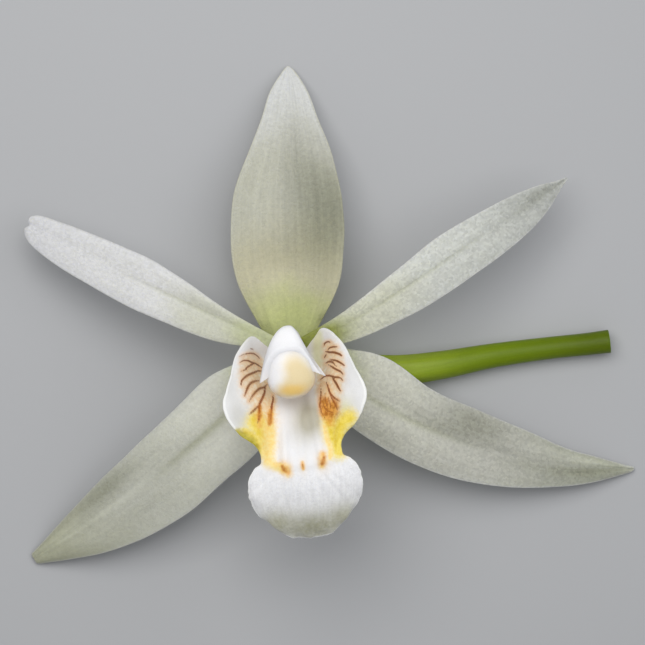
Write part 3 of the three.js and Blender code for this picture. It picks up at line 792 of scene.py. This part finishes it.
lipLook = {
    "flesh": {"weight": 0.35, "depth": 0.8, "spread": (1.0, 0.95, 0.85), "gloss": 0.4},
    "cloud": (0.6, 3.0),
    "patch": (2.2, 3.0),
    "fleck": (7.0, 2.0, 0.7),
    "rough": (4.0, 3.0, 0.6),
    "speckle": (2.4, 3.0, 0.6),
    "speckleLimits": (0.3, 0.7),
    "pleat": (1.0, 4.0, 0.65),
    "pleatScales": (18, 4),  # across and along
    "grainPitch": 0.2,
    "front": (0.6, 0.72),  # where the front lobe begins
    "whites": (paint(240, 240, 242), paint(247, 246, 247)),
    # painted shade, olive grey, on the lower front lobe
    "frontShade": paint(168, 167, 138),
    "frontShadePatches": (0.5, 0.62),  # share of the painted shade that is patchy, and that is even
    "washes": [  # over the white, in this order: strength and colour
        # painted shadow on the disc
        ("discShadow", 0.9, paint(176, 172, 153)),
        ("flare", 0.8, paint(197, 196, 190)),
        # painted shade, green, on the right lobe's inner wall
        ("greenShade", 0.72, paint(224, 224, 168)),
        # painted highlight along the rim
        ("edge", 1.0, paint(254, 254, 250)),
        ("lemon", 0.7, paint(222, 216, 156)),
        ("glow", 0.8, paint(252, 224, 190)),
    ],
    "stains": {  # over the washes, in this order: where each starts and is full, and its two colours
        "tan": (0.1, 0.95, paint(243, 214, 176), paint(255, 244, 226)),
        "ember": (0.2, 1.3, paint(252, 198, 134), paint(255, 226, 184)),
        "yellow": (0.05, 0.95, paint(240, 208, 66), paint(254, 226, 104)),
        "amber": (0.1, 1.2, paint(246, 178, 74), paint(252, 204, 118)),
        "apricot": (0.1, 1.0, paint(255, 214, 126), paint(255, 228, 158)),
        "olive": (0.1, 1.0, paint(166, 150, 32), paint(194, 181, 62)),
        "rust": (0.05, 1.0, paint(184, 114, 34), paint(236, 174, 84)),
        "orange": (0.1, 1.1, paint(240, 172, 78), paint(252, 206, 116)),
        "core": (0.25, 1.25, paint(172, 108, 38), paint(212, 142, 60)),
    },
    "stainRagged": 0.45,
    "blush": paint(238, 182, 122),  # on each side of the veins, where the lobe is tan
    "blushLimits": (0.1, 0.6),
    "blushFlecks": (0.9, 0.1),
    "veinFlecks": 0.5,
    "veinFade": 0.3,  # in the rust, where single veins are lost
    "veinLimits": (0.22, 0.95),
    "inks": (paint(138, 84, 40), paint(158, 84, 28)),  # of the veins, upper and lower
    "inkLimits": (0.1, 1.1),
    "fleckDepth": (0.08, 0.12),  # everywhere, and more on the front lobe
    "grainDepth": (0.02, 0.08),
    # painted light: the front lobe made lighter
    "frontLight": 0.05,
    "pleatDepth": 0.36,
    "roughness": 0.4,
    "roughGrain": 0.16,
    "bump": (0.35, 0.04),
}


def lipFinish():
    look = Finish("lipWhite", **lipLook["flesh"])
    cloud, patch, fleck, rough = look.noises(lipLook, "cloud", "patch", "fleck", "rough")
    speckle = look.step(look.noise(*lipLook["speckle"]), *lipLook["speckleLimits"])
    grain = look.cells(lipLook["grainPitch"])
    along, across = look.spread()[:2]
    front = look.step(along, *lipLook["front"])
    acrossScale, alongScale = lipLook["pleatScales"]
    folds = look.joined(across * acrossScale, along * alongScale)
    pleats = look.noise(*lipLook["pleat"], place=folds)
    body = look.mix(cloud, *lipLook["whites"])
    patchy, even = lipLook["frontShadePatches"]
    # painted shade on the lower front lobe
    body = look.mix(look.attribute("frontShade") * (patch * patchy + even), body, lipLook["frontShade"])
    for key, share, color in lipLook["washes"]:
        body = look.mix(look.attribute(key) * share, body, color)

    def stained(body, key):
        low, high, dark, light = lipLook["stains"][key]
        reach = look.attribute(key) + (rough - 0.5) * lipLook["stainRagged"]
        return look.mix(look.step(reach, low, high), body, look.mix(speckle, dark, light))

    first, *others = lipLook["stains"]
    body = stained(body, first)
    blush = look.attribute("halo") * look.step(look.attribute("tan"), *lipLook["blushLimits"])
    flecked, plain = lipLook["blushFlecks"]
    body = look.mix(blush * (fleck * flecked + plain), body, lipLook["blush"])
    for key in others:
        body = stained(body, key)
    rust = look.attribute("rust")
    vein = look.attribute("vein") + (fleck - 0.5) * lipLook["veinFlecks"]
    vein = vein * (1 - rust * lipLook["veinFade"])
    ink = look.mix(look.step(rust + look.attribute("ember"), *lipLook["inkLimits"]), *lipLook["inks"])
    body = look.mix(look.step(vein, *lipLook["veinLimits"]), body, ink)

    def depth(key):
        everywhere, more = lipLook[key]
        return everywhere + more * front

    shade = 1 - (fleck - 0.5) * depth("fleckDepth") + (grain - 0.5) * depth("grainDepth")
    # painted light lifts the front lobe
    shade = shade + lipLook["frontLight"] * front - (pleats - 0.5) * lipLook["pleatDepth"] * front
    gloss = lipLook["roughness"] + (grain - 0.5) * lipLook["roughGrain"]
    return look.finish(look.toned(body, shade), gloss, look.bumps(grain + fleck, *lipLook["bump"]))


lipMesh, lipWeights = growLip()
addPiece("lip", "lip", "lip", lipMesh, lipFinish(), lipWeights, lipBuild["thickness"])

# sections from the column's foot to its hood's rim: where its outer side, its inner side and its edges
# are, ahead and up; half-widths to the left and right; how much of it is a thin arched blade; and how the
# blade falls to its wings, a power of the share of the half-width on the left and from a share on the right
columnBuild = {
    "back": [
        (0.6, -0.75), (0.75, 0.0), (1.1, 1.2), (1.7, 3.2), (2.0, 5.4), (1.9, 7.2), (2.1, 8.8),
        (2.0, 9.8), (0.1, 10.5),
    ],
    "front": [
        (-0.6, -0.75), (-0.7, 0.0), (-0.85, 1.0), (-0.3, 3.0), (0.0, 5.0), (0.1, 6.8), (0.9, 8.5),
        (1.6, 9.5), (0.05, 10.32),
    ],
    "wing": [
        (0, -0.75), (0, 0.0), (0.1, 1.1), (0.7, 3.1), (0.9, 5.2), (0.6, 7.1), (-0.2, 8.7), (-2.6, 9.75),
        (-2.85, 10.1),
    ],
    "half": [
        (0.6, 0.6), (0.8, 0.8), (1.1, 1.1), (1.05, 1.15), (1.05, 1.15), (1.15, 1.15), (1.65, 1.55),
        (2.95, 2.97), (3.0, 3.08),
    ],
    "blade": [0, 0, 0, 0.1, 0.2, 0.4, 0.8, 1, 1],
    "fall": [(1.7, 0.17)] * 7 + [(2.3, 0.13), (3.4, 0.27)],
    "cells": (84, 72),
}


def growColumn():
    build = columnBuild
    backs = [Vector((blade, *point)) for blade, point in zip(build["blade"], build["back"])]
    fronts = [Vector((blade, *point)) for blade, point in zip(build["blade"], build["front"])]
    lines = [backs, fronts, *(vectors(build[key]) for key in ("wing", "half", "fall"))]

    def place(t, angle):
        back, front, wing, leftRight, falling = (walk(line, t) for line in lines)
        middle, half = (back + front) / 2, (back - front) / 2
        q, side = math.cos(angle), math.sin(angle)
        roundness = 1 - abs(side)
        hood = smooth(q, falling.y, 1) if q > 0 else abs(q) ** falling.x
        fall = roundness + back.x * (hood - roundness)
        y = middle.y + (wing.x - middle.y) * fall + half.y * side
        z = middle.z + (wing.y - middle.z) * fall + half.z * side
        return Vector(((leftRight.y if q > 0 else leftRight.x) * q, y, z))

    bm = rollTube(build["cells"], place)
    bmesh.ops.transform(bm, matrix=lipFrame, verts=bm.verts)
    return bm


wax = {
    "flesh": {"weight": 0.4, "depth": 1.0, "spread": (1.0, 0.95, 0.85), "gloss": 0.45},
    "fleck": (7.0, 2.0, 0.7),
    "fleckDepth": 0.08,
    "roughFleck": 0.2,
    "grainPitch": 0.18,
    "bump": (0.3, 0.03),
}


# flecks, fine bumps and gloss over a waxy body colour
def waxed(look, body, rough):
    fleck = look.noise(*wax["fleck"])
    body = look.toned(body, 1 - (fleck - 0.5) * wax["fleckDepth"])
    bumps = look.bumps(look.cells(wax["grainPitch"]) + fleck, *wax["bump"])
    return look.finish(body, rough + (fleck - 0.5) * wax["roughFleck"], bumps)


columnLook = {
    "cloud": (0.8, 3.0),
    "whites": (paint(254, 253, 255), paint(251, 250, 252)),
    "shaded": paint(238, 238, 237),  # below the hood
    "hood": (0.97, 0.8),  # shares of the length over which it gives way
    "roughness": 0.38,
}


def columnFinish():
    look = Finish("columnWax", **wax["flesh"])
    body = look.mix(look.noise(*columnLook["cloud"]), *columnLook["whites"])
    body = look.mix(look.step(look.spread()[0], *columnLook["hood"]), body, columnLook["shaded"])
    return waxed(look, body, columnLook["roughness"])


addPiece("column", "column", "column", growColumn(), columnFinish(), levels=1)

antherBuild = {
    "at": (-0.08, -2.3, 9.4),
    "half": (2.28, 1.0, 1.38),
    "back": 2.6,  # its reach under the hood
    "front": 2.3,
    "waist": 0.05,  # how much narrower it is under the hood
    "waistFrom": (0, 0.6),
    "blunt": (0.7, 0.85),  # below 1, the back and the front end are blunt
    "flat": 0.75,
    "rim": 0.05,  # a low ridge round its front
    "rimAt": -0.3,
    "rimWidth": 0.14,
    "rimFrom": (-0.2, 0.4),
    "cells": (80, 56),
}
antherDabs = {
    # honey colour of the anther, with painted shade on its top under the hood and on its right flank
    "honeyAndShade": [(0.3, -1.5, 1.2, 1.3, 0.8), (1.1, -2.8, 1.4, 1.1, 0.92), (-0.1, -3.6, 1.6, 0.8, 0.8)],
    "amber": [(-0.1, -3.85, 1.5, 0.6, 1.0)],
}


def growAnther():
    build = antherBuild
    bm = bmesh.new()
    layers = {key: bm.verts.layers.float.new(key) for key in antherDabs}
    bmesh.ops.create_uvsphere(bm, u_segments=build["cells"][0], v_segments=build["cells"][1], radius=1.0)
    for v in bm.verts:
        behind = v.co.y > 0
        y = abs(v.co.y) ** build["blunt"][0 if behind else 1]
        z = math.copysign(abs(v.co.z) ** build["flat"], v.co.z)
        rim = build["rim"] * hump(v.co.z - build["rimAt"], build["rimWidth"])
        rim *= smooth(-v.co.y, *build["rimFrom"])
        waist = build["waist"] * smooth(v.co.y, *build["waistFrom"])
        reach = build["back"] if behind else -build["front"]
        v.co = Vector((v.co.x * (1 - waist + rim), y * reach * (1 + rim), z))
    bmesh.ops.scale(bm, vec=build["half"], verts=bm.verts)
    bmesh.ops.translate(bm, vec=build["at"], verts=bm.verts)
    for v in bm.verts:
        for key, dabs in antherDabs.items():
            v[layers[key]] = min(dabbed(v.co.x, v.co.y, dabs), 1)
    bmesh.ops.transform(bm, matrix=lipFrame, verts=bm.verts)
    return bm


antherLook = {
    "white": paint(248, 247, 249),
    # honey colour, partly painted shade
    "honeyAndShade": paint(232, 214, 170),
    "amber": paint(240, 204, 122),
    "cloud": (1.5, 3.0),
    "cloudDepth": 0.2,
    "roughness": 0.36,
}


def antherFinish():
    look = Finish("antherWax", **wax["flesh"])
    cloud = (look.noise(*antherLook["cloud"]) - 0.5) * antherLook["cloudDepth"]
    body = antherLook["white"]
    for key in antherDabs:
        body = look.mix(look.step(look.attribute(key) + cloud, 0.0, 1.0), body, antherLook[key])
    return waxed(look, body, antherLook["roughness"])


addPiece("antherCap", "anther_cap", "anther", growAnther(), antherFinish())

pedicel = {
    "path": [
        (0, 0, 7.75), (0.15, -0.1, 6), (1, -0.5, 4.2), (3.3, -1.3, 2.6), (6.8, -2, 1.85),
        (10.5, -2.25, 1.6), (14.8, -1.75, 1.5), (20, -0.8, 1.3), (25.2, -0.1, 1.2), (29, 0.3, 1.2),
        (31.4, 0.6, 1.25),
    ],
    "radius": [1.45, 1.35, 1.3, 1.35, 1.45, 1.5, 1.4, 1.2, 1.1, 1.1, 1.15],
    "span": 0.002,  # share of the path, each way, that gives its direction
    "ribDepth": 0.1,
    "ribs": 6,
    "ovaryShare": 0.45,
    "ribFade": 0.2,
    "cells": (150, 60),
}


def growPedicel():
    path = vectors(pedicel["path"])
    span = pedicel["span"]
    ovaryEnd = pedicel["ovaryShare"]

    def place(t, angle):
        ahead = (walk(path, min(t + span, 1)) - walk(path, max(t - span, 0))).normalized()
        side = (Vector((0, 1, 0)) - ahead * ahead.y).normalized()
        up = ahead.cross(side)
        ribbed = pedicel["ribDepth"] * (1 - smooth(t, ovaryEnd, ovaryEnd + pedicel["ribFade"]))
        radius = walk(pedicel["radius"], t) * (1 - ribbed * (1 - math.cos(pedicel["ribs"] * angle)) / 2)
        return flowerAt + walk(path, t) + (side * math.cos(angle) + up * math.sin(angle)) * radius

    return rollTube(pedicel["cells"], place)


stalkLook = {
    "flesh": {"weight": 0.25, "depth": 1.0, "spread": (0.7, 1.0, 0.3), "gloss": 0.2},
    "cloud": (0.5, 3.0),
    "fleck": (6.0, 2.0, 0.7),
    "fibre": (1.0, 3.0),
    "fibreScales": (40, 12),  # around and along
    "ovaryGreens": (paint(166, 184, 58), paint(150, 172, 48)),
    "stalkGreens": (paint(116, 138, 12), paint(100, 122, 8)),
    # painted shade: the stalk darker towards its far end
    "farShadeGreen": paint(88, 106, 4),
    "toStalk": (0.45, 0.72),  # shares of the length
    "toFarShade": (0.7, 0.95),
    "cutCream": paint(196, 206, 146),
    "cutRind": paint(112, 136, 44),
    "cutFrom": (0.998, 0.9995),
    "rind": (0.75, 0.95),  # millimetres from the pith
    "rindRagged": 0.2,
    "vessels": 0.55,
    "vesselWidth": 0.1,
    "vesselFlecks": (0.45, 0.6),
    "fleckDepth": 0.2,
    "fibreDepth": 0.25,
    "roughness": 0.4,
    "roughFleck": 0.2,
    "grainPitch": 0.2,
    "bump": (0.35, 0.04),
}


def stalkFinish():
    look = Finish("stalkGreen", **stalkLook["flesh"])
    along, turn = look.spread()[:2]
    cloud, fleck = look.noises(stalkLook, "cloud", "fleck")
    ovary = look.mix(cloud, *stalkLook["ovaryGreens"])
    stalk = look.mix(cloud, *stalkLook["stalkGreens"])
    body = look.mix(look.step(along, *stalkLook["toStalk"]), ovary, stalk)
    # painted shade towards the far end
    body = look.mix(look.step(along, *stalkLook["toFarShade"]), body, stalkLook["farShadeGreen"])
    # the cut end: cream pith, a ring of vessels and a green rind
    ends = {0: look.place, 1: flowerAt + Vector(pedicel["path"][-1])}
    fromPith = look.node("ShaderNodeVectorMath", {"operation": "DISTANCE"}, ends, "Value")
    rind = look.step(fromPith + (fleck - 0.5) * stalkLook["rindRagged"], *stalkLook["rind"])
    cut = look.mix(rind, stalkLook["cutCream"], stalkLook["cutRind"])
    vessels = look.step(abs(fromPith - stalkLook["vessels"]), stalkLook["vesselWidth"], 0.0)
    vessels = vessels * look.step(fleck, *stalkLook["vesselFlecks"])
    cut = look.mix(vessels, cut, stalkLook["cutRind"])
    body = look.mix(look.step(along, *stalkLook["cutFrom"]), body, cut)
    aroundScale, alongScale = stalkLook["fibreScales"]
    threads = look.joined(turn * aroundScale, along * alongScale)
    fibres = look.noise(*stalkLook["fibre"], place=threads)
    shade = 1 - (fleck - 0.5) * stalkLook["fleckDepth"] - (fibres - 0.5) * stalkLook["fibreDepth"]
    rough = stalkLook["roughness"] + (fleck - 0.5) * stalkLook["roughFleck"]
    bumps = look.bumps(look.cells(stalkLook["grainPitch"]) + fibres, *stalkLook["bump"])
    return look.finish(look.toned(body, shade), rough, bumps)


addPiece("ovaryAndPedicel", "ovary_and_pedicel", "pedicel", growPedicel(), stalkFinish())

floorBuild = {
    "size": 2.0,
    "height": -0.0002,
    "gloss": 0.2,
    "color": paint(182, 183, 185),
    "roughness": 0.8,
    "waveScale": 0.5,
    "bump": (0.1, 0.1),
}
floorLook = Finish("paleFloor", floorBuild["gloss"])
floorBumps = floorLook.bumps(floorLook.noise(floorBuild["waveScale"]), *floorBuild["bump"])
bpy.ops.mesh.primitive_plane_add(size=floorBuild["size"], location=(0, 0, floorBuild["height"]))
floor = bpy.context.object
floor.name = "floor"
floor.data.materials.append(floorLook.finish(floorBuild["color"], floorBuild["roughness"], floorBumps))
print("laid the floor")

lights = {
    "key": {"at": (-0.030, 0.055, 0.160), "size": 0.12, "power": 0.16, "color": (1.0, 0.99, 0.97)},
    "fill": {"at": (0.14, 0.04, 0.30), "size": 0.30, "power": 0.36, "color": (0.97, 0.98, 1.0)},
}
for name, light in lights.items():
    lamp = bpy.data.lights.new(name, "AREA")
    lamp.size = light["size"]
    lamp.energy = light["power"]
    lamp.color = light["color"]
    lampObject = bpy.data.objects.new(name, lamp)
    lampObject.location = light["at"]
    lampObject.rotation_euler = Vector(light["at"]).to_track_quat("Z", "Y").to_euler()
    lampObject.visible_camera = False
    bpy.context.scene.collection.objects.link(lampObject)

studio = {"color": (0.95, 0.97, 1.0, 1.0), "strength": 0.29}
world = bpy.data.worlds.new("studio")
world.use_nodes = True
backdrop = world.node_tree.nodes["Background"]
backdrop.inputs["Color"].default_value = studio["color"]
backdrop.inputs["Strength"].default_value = studio["strength"]
bpy.context.scene.world = world
bpy.context.scene.view_settings.view_transform = "Standard"
print("lit the scene")

view = {"lens": 158.14, "sensor": 36.0, "at": (-0.892, -0.781, 280.5), "nearest": 10}
camera = bpy.data.objects.new("camera", bpy.data.cameras.new("camera"))
camera.data.lens = view["lens"]
camera.data.sensor_width = view["sensor"]
camera.data.clip_start = view["nearest"] * mm
camera.location = Vector(view["at"]) * mm
bpy.context.scene.collection.objects.link(camera)
bpy.context.scene.camera = camera
print("set the camera")
